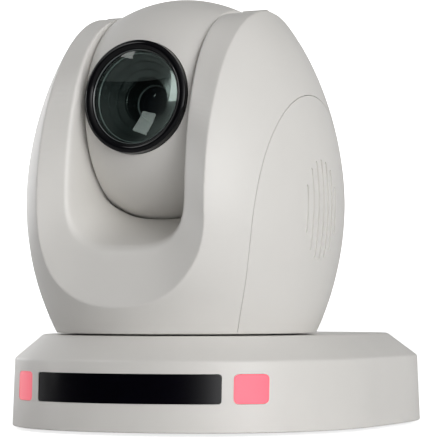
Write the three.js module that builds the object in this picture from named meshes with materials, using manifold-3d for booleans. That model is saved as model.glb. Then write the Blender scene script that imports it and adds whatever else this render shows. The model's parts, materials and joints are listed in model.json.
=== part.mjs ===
// Pan-tilt-zoom camera: a squarish base, an egg-shaped yoke that pans on it, and a drum-shaped head
// that tilts between the yoke's arms. Millimetres, +Z up, the lens looks along -Y.
// The origin is under the middle of the base, at the bottom of the feet.
import * as THREE from "three";
import { mergeVertices } from "three/addons/utils/BufferGeometryUtils.js";
import Module from "manifold-3d";

const wasm = await Module();
wasm.setup();

// ---------------------------------------------------------------- driving dimensions
const GAP = 0.3; // clearance between separate pieces that touch
const WALL = 3; // moulded wall thickness of the yoke

const BASE = {
  halfWidth: 89, // at the foot of the wall
  front: 77, // pan axis to the front of the wall
  rear: 128.5, // pan axis to the rear of the wall
  widest: 21.7, // how far behind the pan axis the plan is widest
  frontPower: 2.2, // superellipse exponents of the plan
  rearPower: 4.5,
  bottom: 1.5,
  shoulder: 34,
  top: 45.2,
  draft: 1.2, // how far the wall leans in by the shoulder
  chamfer: 13.2, // how far the sloping top leans in
  wall: 2.5,
};
const PAN_Y = (BASE.front - BASE.rear) / 2; // keeps the origin in the middle of the base

const EGG = {
  radius: 76.6, // largest radius, seen square on
  waist: 108, // height of the largest radius
  upper: 114.7,
  upperPower: 1.842,
  lower: 108.2,
  lowerPower: 1.95,
  bottom: 46,
  stretch: 0.08, // how much deeper than wide the middle is
};
const TILT_Z = 150.8;
const REST_TILT = 6.2; // degrees that the lens looks up at rest
const REST_PAN = -3.5; // degrees that the yoke is turned at rest
const HEAD = { radius: 55.4, halfWidth: 28.4, wall: 2.5, splitY: 10 };
// How far the drum falls below its radius, as [distance from the middle, fall].
const HEAD_CROWN = [[0, 0], [8, 0.5], [15, 1.8], [21.5, 3.8], [27, 6], [28.4, 7.6]];
const HEAD_GAP = 0.8; // between the head and the yoke
const TRUNNION_R = 6.9;

const FRONT_SCOOP = {
  crease: { halfWidth: 44.1, bottom: 58.3, centre: 102.6, power: 2.3 },
  bend: { halfWidth: 30.2, bottom: 86.3, centre: 112, power: 3 },
  lip: { halfWidth: 29.4, bottom: 100, centre: 122, power: 2.8 },
};
const REAR_SCOOP = {
  crease: { halfWidth: 44.1, bottom: 128, centre: 158, power: 2.3 },
  bend: { halfWidth: 30.2, bottom: 136, centre: 158, power: 3 },
  lip: { halfWidth: 29.4, bottom: 138, centre: 158, power: 3 },
};
const BEND = { depth: 61.1, centre: 95, height: 103, power: 2.6 }; // side profile of the bend line
const LIP_DEPTH = 24; // how far the edge beside the head stands in front of the tilt axis
const SIDE_COVER = { halfWidth: 49, centre: 95, upper: 63, lower: 85, innerX: 36.4 };
const VENT = { slots: 7, pitch: 4.6, width: 1.4, halfHeight: 23.5, halfWidth: 15.7, y: -4, z: 104 };
const SHELL_SPLIT_Y = 24; // parting plane of the yoke's front and rear shells

const WINDOW = { halfLength: 46.6, low: 14.8, high: 28.1, thickness: 2 };
const TALLY = { inner: 51.5, outer: 63.9 };
const RECESS = { depth: 16, halfWidth: 62, low: 8, high: 34 }; // for the sockets, in the rear wall
const RECESS_Y = BASE.rear - RECESS.depth;
const PANEL = { halfWidth: 63, low: 7, high: 35, thickness: 2, outerFace: RECESS_Y - GAP };
const SOCKET_Z = 20; // height of the middle of every socket

const FOOT = { radius: 6, chamfer: 0.6, height: 2.2, places: [[-48, -22], [48, -22], [-56, 92], [56, 92]] };
const PLATE_THICKNESS = 2;
const TRIPOD = { bore: 3.1, radius: 7, flat: 6.4, top: 12 }; // the insert has a flat against turning

// ---------------------------------------------------------------- solids and meshes
function toSolid(geometry) {
  const source = geometry.index ? geometry.toNonIndexed() : geometry;
  const bare = new THREE.BufferGeometry();
  bare.setAttribute("position", source.getAttribute("position"));
  const merged = mergeVertices(bare, 1e-4);
  const kept = [];
  const index = merged.index.array;
  for (let i = 0; i < index.length; i += 3) {
    const [a, b, c] = [index[i], index[i + 1], index[i + 2]];
    if (a !== b && b !== c && c !== a) kept.push(a, b, c);
  }
  const build = (triangles) =>
    new wasm.Manifold(
      new wasm.Mesh({
        numProp: 3,
        vertProperties: merged.attributes.position.array,
        triVerts: new Uint32Array(triangles),
      }),
    );
  const made = build(kept);
  if (made.volume() >= 0) return made;
  const turned = [];
  for (let i = 0; i < kept.length; i += 3) turned.push(kept[i], kept[i + 2], kept[i + 1]);
  return build(turned);
}

function toGeometry(solid) {
  const mesh = solid.getMesh();
  const positions = new Float32Array(mesh.numVert * 3);
  for (let i = 0; i < mesh.numVert; i++) {
    positions.set(mesh.vertProperties.subarray(i * mesh.numProp, i * mesh.numProp + 3), i * 3);
  }
  const geometry = new THREE.BufferGeometry();
  geometry.setAttribute("position", new THREE.BufferAttribute(positions, 3));
  geometry.setIndex(new THREE.BufferAttribute(mesh.triVerts, 1));
  geometry.computeVertexNormals();
  return geometry;
}

function box(x0, x1, y0, y1, z0, z1) {
  const geometry = new THREE.BoxGeometry(x1 - x0, y1 - y0, z1 - z0);
  return toSolid(geometry.translate((x0 + x1) / 2, (y0 + y1) / 2, (z0 + z1) / 2));
}

// A solid of revolution from [radius, height] points that start and end on the axis or close on themselves.
function turned(profile, axis, segments = 24) {
  const geometry = new THREE.LatheGeometry(
    profile.map(([r, h]) => new THREE.Vector2(r, h)),
    segments,
  );
  if (axis === "z") geometry.rotateX(Math.PI / 2);
  if (axis === "x") geometry.rotateZ(-Math.PI / 2);
  return toSolid(geometry);
}

const rod = (radius, from, to, axis, segments = 20) =>
  turned([[0, from], [radius, from], [radius, to], [0, to]], axis, segments);

const tube = (inner, outer, from, to, axis, segments = 28) =>
  turned([[inner, from], [outer, from], [outer, to], [inner, to], [inner, from]], axis, segments);

// A closed skin over a row of rings, each an array of [x, y, z] with as many points as the next.
function loft(rings) {
  const count = rings[0].length;
  const positions = [];
  const push = (...points) => points.forEach((p) => positions.push(...p));
  for (let r = 0; r + 1 < rings.length; r++) {
    for (let i = 0; i < count; i++) {
      const j = (i + 1) % count;
      const [a, b, c, d] = [rings[r][i], rings[r][j], rings[r + 1][j], rings[r + 1][i]];
      push(a, b, c);
      push(a, c, d);
    }
  }
  const middle = (ring) => ring[0].map((_, k) => ring.reduce((sum, p) => sum + p[k], 0) / count);
  const [first, last] = [rings[0], rings[rings.length - 1]];
  const [m0, m1] = [middle(first), middle(last)];
  for (let i = 0; i < count; i++) {
    const j = (i + 1) % count;
    push(first[j], first[i], m0);
    push(last[i], last[j], m1);
  }
  const geometry = new THREE.BufferGeometry();
  geometry.setAttribute("position", new THREE.Float32BufferAttribute(positions, 3));
  return toSolid(geometry);
}

// An outline in a plane, pushed along an axis. Points are [u, v]: (y, z) for axis x, (x, z) for y and
// (x, y) for z.
function prism(points, axis, from, to) {
  const place = {
    x: (u, v, w) => [w, u, v],
    y: (u, v, w) => [u, w, v],
    z: (u, v, w) => [u, v, w],
  }[axis];
  return loft([from, to].map((w) => points.map(([u, v]) => place(u, v, w))));
}

const steps = (count, from, to) =>
  Array.from({ length: count + 1 }, (_, i) => from + ((to - from) * i) / count);
const superRoot = (t, power) => Math.sign(t) * Math.abs(t) ** (2 / power);

const group = new THREE.Group();
const yoke = new THREE.Group();
yoke.position.set(0, PAN_Y, 0);
yoke.rotation.z = THREE.MathUtils.degToRad(REST_PAN);
const head = new THREE.Group();
head.position.set(0, 0, TILT_Z);
head.rotation.x = -THREE.MathUtils.degToRad(REST_TILT);
const base = new THREE.Group();
base.position.set(0, PAN_Y, 0);
yoke.add(head);
group.add(base, yoke);

const PAINT = {
  shell: [0xdedbd5, 0.45, 0],
  black: [0x0b0b0d, 0.3, 0],
  window: [0x08080a, 0.12, 0],
  tally: [0xff7a8e, 0.4, 0],
  steel: [0xb9bcc0, 0.35, 1],
  aluminium: [0xa9adb2, 0.45, 1],
  brass: [0xc9a24b, 0.35, 1],
  board: [0x1f5a35, 0.6, 0],
  rubber: [0x1c1c1e, 0.85, 0],
  glass: [0x9fb4b2, 0.05, 0],
};

function add(parent, name, solid, paint) {
  const [color, roughness, metalness] = PAINT[paint];
  const material = new THREE.MeshStandardMaterial({ color, roughness, metalness });
  const mesh = new THREE.Mesh(toGeometry(solid), material);
  mesh.name = name;
  parent.add(mesh);
}

// ---------------------------------------------------------------- base
// The plan of the base, drawn in by an inset, at one height.
function planRing(inset, z, count = 48) {
  return steps(count, 0, 2 * Math.PI)
    .slice(0, count)
    .map((t) => {
      const front = Math.sin(t) < 0;
      const depth = (front ? BASE.front + BASE.widest : BASE.rear - BASE.widest) - inset;
      const power = front ? BASE.frontPower : BASE.rearPower;
      const x = (BASE.halfWidth - inset) * superRoot(Math.cos(t), power);
      return [x, BASE.widest + depth * superRoot(Math.sin(t), power), z];
    });
}

function baseSolid(offset) {
  const shoulder = BASE.draft + offset;
  const rings = [
    planRing(offset + 1, BASE.bottom),
    planRing(offset, BASE.bottom + 1),
    planRing(shoulder - 0.1, BASE.shoulder - 1.2 - offset * 0.4),
    planRing(shoulder + 0.9, BASE.shoulder + 0.4 - offset * 0.6),
    planRing(shoulder + BASE.chamfer - 0.8, BASE.top - 0.5 - offset),
    planRing(shoulder + BASE.chamfer + 0.8, BASE.top - offset),
  ];
  return loft(rings);
}

function baseShell() {
  const inside = baseSolid(BASE.wall).add(loft([planRing(BASE.wall, -5), planRing(BASE.wall, 6)]));
  const { halfWidth, low, high } = RECESS;
  const tray = box(-halfWidth - 2, halfWidth + 2, RECESS_Y, BASE.rear - 2, low - 2, high + 2);
  return baseSolid(0)
    .subtract(inside)
    .add(tray.intersect(baseSolid(1)))
    .subtract(box(-halfWidth, halfWidth, RECESS_Y - 1, BASE.rear + 1, low, high))
    .subtract(rod(30, 30, 60, "z", 32))
    .subtract(wallSlab(-WINDOW.halfLength - GAP, WINDOW.halfLength + GAP, GAP))
    .subtract(wallSlab(TALLY.inner - GAP, TALLY.outer + GAP, GAP))
    .subtract(wallSlab(-TALLY.outer - GAP, -TALLY.inner + GAP, GAP));
}

// A block that reaches through the front wall over the window's height.
const wallSlab = (x0, x1, margin) =>
  box(x0, x1, -90, -20, WINDOW.low - margin, WINDOW.high + margin);

const wallPiece = (x0, x1) =>
  baseSolid(0.15).subtract(baseSolid(0.15 + WINDOW.thickness)).intersect(wallSlab(x0, x1, 0));

function buildBase() {
  add(base, "base_shell", baseShell(), "shell");
  add(base, "ir_window", wallPiece(-WINDOW.halfLength, WINDOW.halfLength), "window");
  add(base, "tally_lens_left", wallPiece(-TALLY.outer, -TALLY.inner), "tally");
  add(base, "tally_lens_right", wallPiece(TALLY.inner, TALLY.outer), "tally");

  buildUnderside();
  buildRearPanel();
  buildBoards();
  buildPanDrive();
}

function buildUnderside() {
  const inset = BASE.wall + GAP;
  let plate = loft([planRing(inset, BASE.bottom), planRing(inset, BASE.bottom + PLATE_THICKNESS)]);
  plate = plate.subtract(rod(TRIPOD.radius + GAP, -1, 10, "z"));
  const { radius, chamfer, height } = FOOT;
  const foot = turned(
    [[0, 0], [radius - chamfer, 0], [radius, chamfer], [radius, height], [0, height]], "z", 24,
  );
  const footHole = rod(radius + GAP, -1, height + GAP, "z", 24);
  FOOT.places.forEach(([x, y], i) => {
    plate = plate.subtract(footHole.translate(x, y, 0));
    add(base, `foot_${i + 1}`, foot.translate(x, y, 0), "rubber");
  });
  add(base, "bottom_plate", plate, "aluminium");
  const insert = tube(TRIPOD.bore, TRIPOD.radius, BASE.bottom, TRIPOD.top, "z");
  const flat = box(TRIPOD.flat, TRIPOD.radius + 1, -9, 9, BASE.bottom - 1, TRIPOD.top + 1);
  add(base, "tripod_insert", insert.subtract(flat), "brass");
}

// Sockets with a rectangular mouth: outside width and height, then the mouth's.
const JACKS = [
  { name: "lan_jack", x: -18, width: 16, height: 14, mouthWidth: 11.8, mouthHeight: 8.4 },
  { name: "serial_jack", x: 2, width: 16, height: 14, mouthWidth: 11.8, mouthHeight: 8.4 },
  { name: "hdmi_jack", x: 22, width: 16, height: 7, mouthWidth: 14.2, mouthHeight: 5 },
];
const JACK_DEPTH = { body: 16, mouth: 13, proud: 0.5 }; // from the panel's outer face
const COAXIAL = { x: -38, flange: 6, barrel: 4.8, bore: 4, pin: 1, lug: 0.9, lugReach: 5.8, length: 11.5 };
const POWER = { x: 38, radius: 5, bore: 3.1, pin: 1, proud: 3, depth: 12 };
const DIAL = { x: 52, radius: 4.5, slotHalf: 3.4, slotWidth: 1.2 };

function buildRearPanel() {
  const back = PANEL.outerFace;
  const z = SOCKET_Z;
  let panel = box(-PANEL.halfWidth, PANEL.halfWidth, back - PANEL.thickness, back, PANEL.low, PANEL.high);
  const blockAt = (x, width, height, y0, y1) =>
    box(x - width / 2, x + width / 2, y0, y1, z - height / 2, z + height / 2);
  for (const { name, x, width, height, mouthWidth, mouthHeight } of JACKS) {
    panel = panel.subtract(blockAt(x, width + 2 * GAP, height + 2 * GAP, back - 3, back + 1));
    const body = blockAt(x, width, height, back - JACK_DEPTH.body, back + JACK_DEPTH.proud);
    const mouth = blockAt(x, mouthWidth, mouthHeight, back - JACK_DEPTH.mouth, back + 2);
    add(base, name, body.subtract(mouth), "steel");
  }
  for (const [x, radius] of [[COAXIAL.x, COAXIAL.flange], [POWER.x, POWER.radius], [DIAL.x, DIAL.radius]]) {
    panel = panel.subtract(rod(radius + GAP, back - 3, back + 1, "y").translate(x, 0, z));
  }
  add(base, "rear_panel", panel, "aluminium");

  const c = COAXIAL;
  const lugs = rod(c.lug, -c.lugReach, c.lugReach, "x", 12).translate(0, back + 8, 0);
  const coaxial = turned(
    [[0, back - 10], [c.flange, back - 10], [c.flange, back + 1], [5, back + 1], [5, back + 2],
      [c.barrel, back + c.length], [c.bore, back + c.length], [c.bore, back + 3], [c.pin, back + 3],
      [c.pin, back + 9], [0, back + 9]],
    "y", 20,
  ).add(lugs.subtract(rod(c.bore + 0.4, back, back + 12, "y")));
  add(base, "sdi_connector", coaxial.translate(c.x, 0, z), "steel");

  const p = POWER;
  const inlet = turned(
    [[0, back - p.depth], [p.radius, back - p.depth], [p.radius, back + p.proud], [p.bore, back + p.proud],
      [p.bore, back - 9], [p.pin, back - 9], [p.pin, back + 1], [0, back + 1]],
    "y", 32,
  );
  add(base, "dc_jack", inlet.translate(p.x, 0, z), "black");

  const r = DIAL.radius;
  const knob = turned(
    [[0, back - 2], [r, back - 2], [r, back + 1], [r - 0.5, back + 1.6], [0, back + 1.6]], "y",
  );
  const { slotHalf, slotWidth } = DIAL;
  const slot = box(-slotHalf, slotHalf, back + 0.9, back + 3, -slotWidth / 2, slotWidth / 2);
  add(base, "format_dial", knob.subtract(slot).translate(DIAL.x, 0, z), "black");
}

function buildBoards() {
  const thickness = 1.6;
  const behindJacks = PANEL.outerFace - JACK_DEPTH.body - 0.4;
  add(base, "connector_board", box(-45, 45, behindJacks - 1.8, behindJacks, 8, 33), "board");
  add(base, "main_board", box(-62, 62, 45, behindJacks - 2.2, 9, 9 + thickness), "board");
  add(base, "tally_board", box(-60, 60, -46, -46 + thickness, 12, 30), "board");
}

// ---------------------------------------------------------------- pan drive
const PAN_DRIVE = { wheel: 22, pinion: 8, motorX: -48, motorY: 26, low: 22, high: 30 };
const PAN_BEARING = { low: 34, high: 40.7, outer: 24, outerBore: 21, inner: 19, bore: 16.3 };
const MOTOR = { size: 35, shaft: 2.5, pinionBore: 2.2 };
const BELT = { thickness: 1.2, gap: 0.3 };

const pulley = (radius, bore, from, to, axis, segments) =>
  turned(
    [[bore, from], [radius + 2.4, from], [radius + 2.4, from + 1], [radius, from + 1.2], [radius, to - 1.2],
      [radius + 2.4, to - 1], [radius + 2.4, to], [bore, to], [bore, from]],
    axis, segments,
  );

// The closed line round two pulleys, at a distance outside them, in a plane where the second lies at (u, v).
function beltLine(r1, r2, u, v, out) {
  const distance = Math.hypot(u, v);
  const heading = Math.atan2(v, u);
  const lean = Math.acos((r1 - r2) / distance);
  const arc = (cu, cv, radius, from, to, count) =>
    steps(count, from, to).map((a) => [cu + radius * Math.cos(a), cv + radius * Math.sin(a)]);
  return [
    ...arc(0, 0, r1 + out, heading + lean, heading + 2 * Math.PI - lean, 22),
    ...arc(u, v, r2 + out, heading - lean, heading + lean, 12),
  ];
}

const belt = (r1, r2, u, v, axis, from, to) =>
  prism(beltLine(r1, r2, u, v, BELT.gap + BELT.thickness), axis, from, to).subtract(
    prism(beltLine(r1, r2, u, v, BELT.gap), axis, from - 1, to + 1),
  );

// A square motor of one length that stands on z = 0, with a boss round the hole for its shaft.
function stepperMotor(length) {
  const { size, shaft } = MOTOR;
  const half = size / 2;
  const corner = size * 0.12;
  const outline = [
    [half, -half + corner], [half, half - corner], [half - corner, half], [-half + corner, half],
    [-half, half - corner], [-half, -half + corner], [-half + corner, -half], [half - corner, -half],
  ];
  const boss = rod(size * 0.3, length, length + 1.2, "z", 24);
  return prism(outline, "z", 0, length)
    .add(boss)
    .subtract(rod(shaft + GAP, length - 8, length + 2, "z", 16));
}

function buildPanDrive() {
  const d = PAN_DRIVE;
  const b = PAN_BEARING;
  const seat = turned(
    [[b.outer + GAP, b.low - 1], [29, b.low - 1], [29, 40], [36, 40], [36, 42.2], [22, 42.2],
      [22, b.high + GAP], [b.outer + GAP, b.high + GAP], [b.outer + GAP, b.low - 1]],
    "z",
  );
  add(base, "pan_bearing_seat", seat, "aluminium");
  add(base, "pan_bearing_outer", tube(b.outerBore, b.outer, b.low, b.high, "z", 24), "steel");
  add(yoke, "pan_bearing_inner", tube(b.bore, b.inner, b.low, b.high, "z", 24), "steel");
  add(base, "pan_motor", stepperMotor(16).translate(d.motorX, d.motorY, 4), "black");
  const shaft = rod(MOTOR.shaft, 14, d.high + 1, "z");
  const pinion = pulley(d.pinion, MOTOR.pinionBore, d.low, d.high, "z", 20).add(shaft);
  add(base, "pan_pinion", pinion.translate(d.motorX, d.motorY, 0), "aluminium");
  const loop = belt(d.wheel, d.pinion, d.motorX, d.motorY, "z", d.low + 1.6, d.high - 1.6);
  add(base, "pan_belt", loop, "rubber");
  add(yoke, "pan_wheel", pulley(d.wheel, b.bore, d.low, d.high, "z", 24), "aluminium");
}

// ---------------------------------------------------------------- yoke shells
const eggRadius = (z) => {
  const above = z > EGG.waist;
  const share = Math.abs(z - EGG.waist) / (above ? EGG.upper : EGG.lower);
  const power = above ? EGG.upperPower : EGG.lowerPower;
  return EGG.radius * Math.sqrt(Math.max(0, 1 - share ** power));
};
const smooth = (t) => {
  const c = Math.min(1, Math.max(0, t));
  return c * c * (3 - 2 * c);
};
// How much the section is stretched along Y and drawn in along X at one height.
const eggStretch = (z) => 1 + EGG.stretch * smooth((z - EGG.bottom) / 30);
const eggSqueeze = (z) => Math.sqrt((1 - 0.2132 * eggStretch(z) ** 2) / 0.7868);

function eggRing(z, inset, count) {
  const [a, b] = [eggRadius(z) * eggSqueeze(z) - inset, eggRadius(z) * eggStretch(z) - inset];
  return steps(count, 0, 2 * Math.PI)
    .slice(0, count)
    .map((t) => [Math.max(a, 1) * Math.cos(t), Math.max(b, 1) * Math.sin(t), z]);
}

function eggSolid(inset, from, to, rings, count) {
  const heights = steps(rings, 0, 1).map((t) => from + (to - from) * (1 - (1 - t) ** 1.25));
  return loft(heights.map((z) => eggRing(z, inset, count)));
}

// Distance from the pan axis to the egg's surface, along Y, at one place of the front view.
function eggDepth(x, z) {
  const inside = 1 - (x / (eggRadius(z) * eggSqueeze(z))) ** 2;
  return inside > 0 ? eggRadius(z) * eggStretch(z) * Math.sqrt(inside) : 0;
}

function bendDepth(z) {
  const share = Math.max(0, z - BEND.centre) / BEND.height;
  return share < 1 ? BEND.depth * (1 - share ** BEND.power) ** (1 / BEND.power) : 0;
}

const SIDE_HEIGHTS = [232, 206, 200, 197, 193, 187, 180, 171, 162];

// A round-bottomed U in the front view, as [x, z] from the top left down, round and up to the top right.
function uOutline({ halfWidth, bottom, centre, power }, grow) {
  const w = halfWidth + grow;
  const side = [...SIDE_HEIGHTS, ...steps(4, SIDE_HEIGHTS.at(-1), centre).slice(1)];
  const arch = steps(14, Math.PI, 2 * Math.PI).slice(1, -1).map((t) => [
    w * superRoot(Math.cos(t), power),
    centre + (centre - bottom + grow) * superRoot(Math.sin(t), power),
  ]);
  return [...side.map((z) => [-w, z]), ...arch, ...[...side].reverse().map((z) => [w, z])];
}

// What is cut out of the egg in front of the head (facing -1) or behind it (facing 1).
function scoopCutter({ crease, bend, lip }, facing, grow) {
  const past = -0.5; // the two cutters overlap a little at the tilt axis
  const outerLine = uOutline(crease, grow);
  const ring = (line, depth) => line.map(([x, z]) => [x, facing * depth(x, z), z]);
  const inwards = (d) => Math.max(past, d - grow);
  return loft([
    ring(outerLine, () => 200),
    ring(outerLine, (x, z) => inwards(eggDepth(Math.min(Math.abs(x), crease.halfWidth), z) + grow)),
    ring(uOutline(bend, grow), (x, z) => inwards(bendDepth(z))),
    ring(uOutline(lip, grow), (x, z) => inwards(Math.min(LIP_DEPTH + grow, bendDepth(z)))),
    ring(uOutline(lip, grow), () => past),
  ]);
}

// The head's drum, or the cavity round it.
function drum(grow, segments) {
  const w = HEAD.halfWidth + grow;
  const half = HEAD_CROWN.map(([x, fall]) => [HEAD.radius + grow - fall, (x * w) / HEAD.halfWidth]);
  const mirrored = half.slice(1).reverse().map(([r, x]) => [r, -x]);
  return turned([[0, -w], ...mirrored, ...half, [0, w]], "x", segments);
}

// Above this height the space between the arms is straight-sided, so that their tips end cleanly.
const ARM_TIP_Z = 190;

function yokeBody() {
  const cut = [
    scoopCutter(FRONT_SCOOP, -1, 0),
    scoopCutter(REAR_SCOOP, 1, 0),
    drum(HEAD_GAP, 48).translate(0, 0, TILT_Z),
    box(-FRONT_SCOOP.lip.halfWidth, FRONT_SCOOP.lip.halfWidth, -30, 30, ARM_TIP_Z, 230),
  ];
  const grown = [
    scoopCutter(FRONT_SCOOP, -1, WALL),
    scoopCutter(REAR_SCOOP, 1, WALL),
    drum(HEAD_GAP + WALL, 28).translate(0, 0, TILT_Z),
  ];
  const outer = cut.reduce((s, c) => s.subtract(c), eggSolid(0, EGG.bottom, 221, 16, 52));
  const hollow = grown.reduce((s, c) => s.subtract(c), eggSolid(WALL, EGG.bottom - 6, 214, 8, 32));
  return outer.subtract(hollow).subtract(rod(8.5, -45, 45, "x").translate(0, 0, TILT_Z));
}

// The outline of a side cover in the side view, as [y, z].
function coverOutline(grow) {
  const w = SIDE_COVER.halfWidth + grow;
  return steps(30, -0.62, Math.PI + 0.62).map((t) => {
    const height = (Math.sin(t) > 0 ? SIDE_COVER.upper : SIDE_COVER.lower) + grow;
    return [w * Math.cos(t), SIDE_COVER.centre + height * Math.sin(t)];
  });
}

function ventSlots(side) {
  const half = (VENT.slots - 1) / 2;
  return steps(VENT.slots - 1, -half, half).map((k) => {
    const h = VENT.halfHeight * Math.sqrt(1 - ((k * VENT.pitch) / VENT.halfWidth) ** 2);
    const y = VENT.y + k * VENT.pitch;
    const w = VENT.width / 2;
    const [x0, x1] = side < 0 ? [-90, -60] : [60, 90];
    return box(x0, x1, y - w, y + w, VENT.z - h, VENT.z + h);
  });
}

function buildYokeShells() {
  const body = yokeBody();
  const slab = (side, grow) => {
    const [x0, x1] = side < 0 ? [-95, -SIDE_COVER.innerX] : [SIDE_COVER.innerX, 95];
    return prism(coverOutline(grow), "x", x0, x1);
  };
  const frame = body.subtract(slab(-1, GAP / 2)).subtract(slab(1, GAP / 2));
  const split = SHELL_SPLIT_Y;
  add(yoke, "yoke_front_shell", frame.intersect(box(-99, 99, -99, split - GAP / 2, 0, 230)), "shell");
  add(yoke, "yoke_rear_shell", frame.intersect(box(-99, 99, split + GAP / 2, 99, 0, 230)), "shell");
  for (const [name, side] of [["side_cover_left", -1], ["side_cover_right", 1]]) {
    const cover = body.intersect(slab(side, -GAP / 2));
    add(yoke, name, ventSlots(side).reduce((s, c) => s.subtract(c), cover), "shell");
  }
}

// ---------------------------------------------------------------- yoke frame and tilt drive
const TURNTABLE = { radius: 56, top: 49.2, bore: 9, neck: 16, neckLow: 18 };
const UPRIGHT = { inner: 33.5, outer: 36, halfWidth: 18, bearing: 11, toe: 12, holes: [74, 120], holeR: 9 };
const TILT_DRIVE = { wheel: 18, pinion: 8, motorZ: 96, near: 38, far: 45 };

function buildYokeFrame() {
  const t = TURNTABLE;
  const turntable = tube(t.bore, t.radius, EGG.bottom + GAP, t.top, "z").add(
    tube(t.bore, t.neck, t.neckLow, EGG.bottom + 1, "z", 20),
  );
  add(yoke, "turntable", turntable, "aluminium");
  add(yoke, "pan_harness", rod(3.5, 13, 62, "z", 16), "rubber");
  const u = UPRIGHT;
  const foot = t.top + GAP;
  const outline = [
    [-u.halfWidth, foot], [u.halfWidth, foot],
    ...steps(14, 0, Math.PI).map((a) => [u.halfWidth * Math.cos(a), TILT_Z + u.halfWidth * Math.sin(a)]),
  ];
  for (const [name, side] of [["upright_left", -1], ["upright_right", 1]]) {
    const [x0, x1] = side < 0 ? [-u.outer, -u.inner] : [u.inner, u.outer];
    const [toe0, toe1] = side < 0 ? [-u.outer - u.toe, -u.inner] : [u.inner, u.outer + u.toe];
    let plate = prism(outline, "x", x0, x1)
      .add(box(toe0, toe1, -u.halfWidth, u.halfWidth, foot, foot + 2.5))
      .subtract(rod(u.bearing + GAP, -50, 50, "x").translate(0, 0, TILT_Z));
    for (const z of u.holes) plate = plate.subtract(rod(u.holeR, -50, 50, "x").translate(0, 0, z));
    add(yoke, name, plate, "aluminium");
    const ring = tube(TRUNNION_R + GAP, u.bearing, x0 - 1, x1 + 1, "x", 32).translate(0, 0, TILT_Z);
    add(yoke, `tilt_bearing_${side < 0 ? "left" : "right"}`, ring, "steel");
  }
  buildTiltDrive();
  const driver = box(41, 42.6, -20, 20, 70, 128).add(box(42.6, 46, -8, 8, 90, 106));
  add(yoke, "motor_driver_board", driver, "board");
}

function buildTiltDrive() {
  const d = TILT_DRIVE;
  const motor = toSolid(toGeometry(stepperMotor(18)).rotateY(Math.PI / 2));
  add(yoke, "tilt_motor", motor.translate(-66, 0, d.motorZ), "black");
  const bracket = box(-46.4, -45.4, -19, 19, 78, 115)
    .add(box(-45.6, -36.3, -19, -17.6, 80, 92))
    .add(box(-45.6, -36.3, 17.6, 19, 80, 92))
    .subtract(rod(11.4, -60, -30, "x").translate(0, 0, d.motorZ));
  add(yoke, "tilt_motor_bracket", bracket, "aluminium");
  const shaft = rod(MOTOR.shaft, -54, -d.near + 0.8, "x");
  const pinion = pulley(d.pinion, MOTOR.pinionBore, -d.far + 0.6, -d.near, "x", 20).add(shaft);
  add(yoke, "tilt_pinion", pinion.translate(0, 0, d.motorZ), "aluminium");
  const loop = belt(d.wheel, d.pinion, 0, d.motorZ - TILT_Z, "x", -d.far + 2, -d.near - 1.5);
  add(yoke, "tilt_belt", loop.translate(0, 0, TILT_Z), "rubber");
}

// ---------------------------------------------------------------- head
const LENS = {
  bezelR: 26.7,
  front: -53, // foremost plane of the bezel
  glassR: 22.3,
  barrelR: 23,
  bore: 19.4,
  baffleR: 10.8, // opening of the light baffle behind the front glass
  zoomAt: -33, // front of the zoom cell, half way along its travel
  focusAt: -18,
};

function buildHead() {
  const inner = drum(-HEAD.wall, 32);
  const lensHole = rod(LENS.bezelR + GAP, -70, -20, "y", 36);
  const skin = drum(0, 52)
    .subtract(inner)
    .subtract(lensHole)
    .subtract(rod(8, -40, 40, "x"));
  const split = HEAD.splitY;
  add(head, "head_front_shell", skin.intersect(box(-70, 70, -70, split - GAP / 2, -70, 70)), "shell");
  add(head, "head_rear_shell", skin.intersect(box(-70, 70, split + GAP / 2, 70, -70, 70)), "shell");
  for (const side of [-1, 1]) {
    const ends = (a, b) => (side < 0 ? [-b, -a] : [a, b]);
    const flange = rod(8.6, ...ends(22.6, 24.6), "x", 24).add(
      rod(TRUNNION_R, ...ends(24, side < 0 ? 46.5 : 38), "x", 32),
    );
    add(head, `trunnion_${side < 0 ? "left" : "right"}`, flange, "steel");
  }
  const wheel = pulley(TILT_DRIVE.wheel, TRUNNION_R + GAP, -TILT_DRIVE.far + 0.6, -TILT_DRIVE.near, "x", 24);
  add(head, "tilt_wheel", wheel, "aluminium");
  const frame = box(-22.3, 22.3, -8.6, 24, -27, -25)
    .add(box(-22.3, -20.3, -8.6, 24, -27, 15))
    .add(box(20.3, 22.3, -8.6, 24, -27, 15));
  add(head, "head_frame", frame, "aluminium");
  buildCameraBlock();
}

const GUIDE = { x: 16.4, radius: 1 };

// A lens in a round cell that slides on the two guide rods.
function buildCell(group, from, length, cellBore, bulge) {
  const guideHole = rod(GUIDE.radius + GAP, from - 1, from + length + 1, "y", 12);
  const cell = tube(cellBore, LENS.bore - 0.4, from, from + length, "y", 24)
    .subtract(guideHole.translate(GUIDE.x, 0, 0))
    .subtract(guideHole.translate(-GUIDE.x, 0, 0));
  add(head, `${group}_cell`, cell, "black");
  const radius = cellBore - GAP;
  const start = group === "focus" ? from - 1 : from;
  const front = steps(3, 0, 1).map((t) => [radius * t, start + bulge * t * t]);
  const rear = steps(3, 1, 0).map((t) => [radius * t, start + bulge + 3 - 1.4 * t * t]);
  add(head, `${group}_lens`, turned([...front, ...rear], "y", 24), "glass");
}

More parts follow.
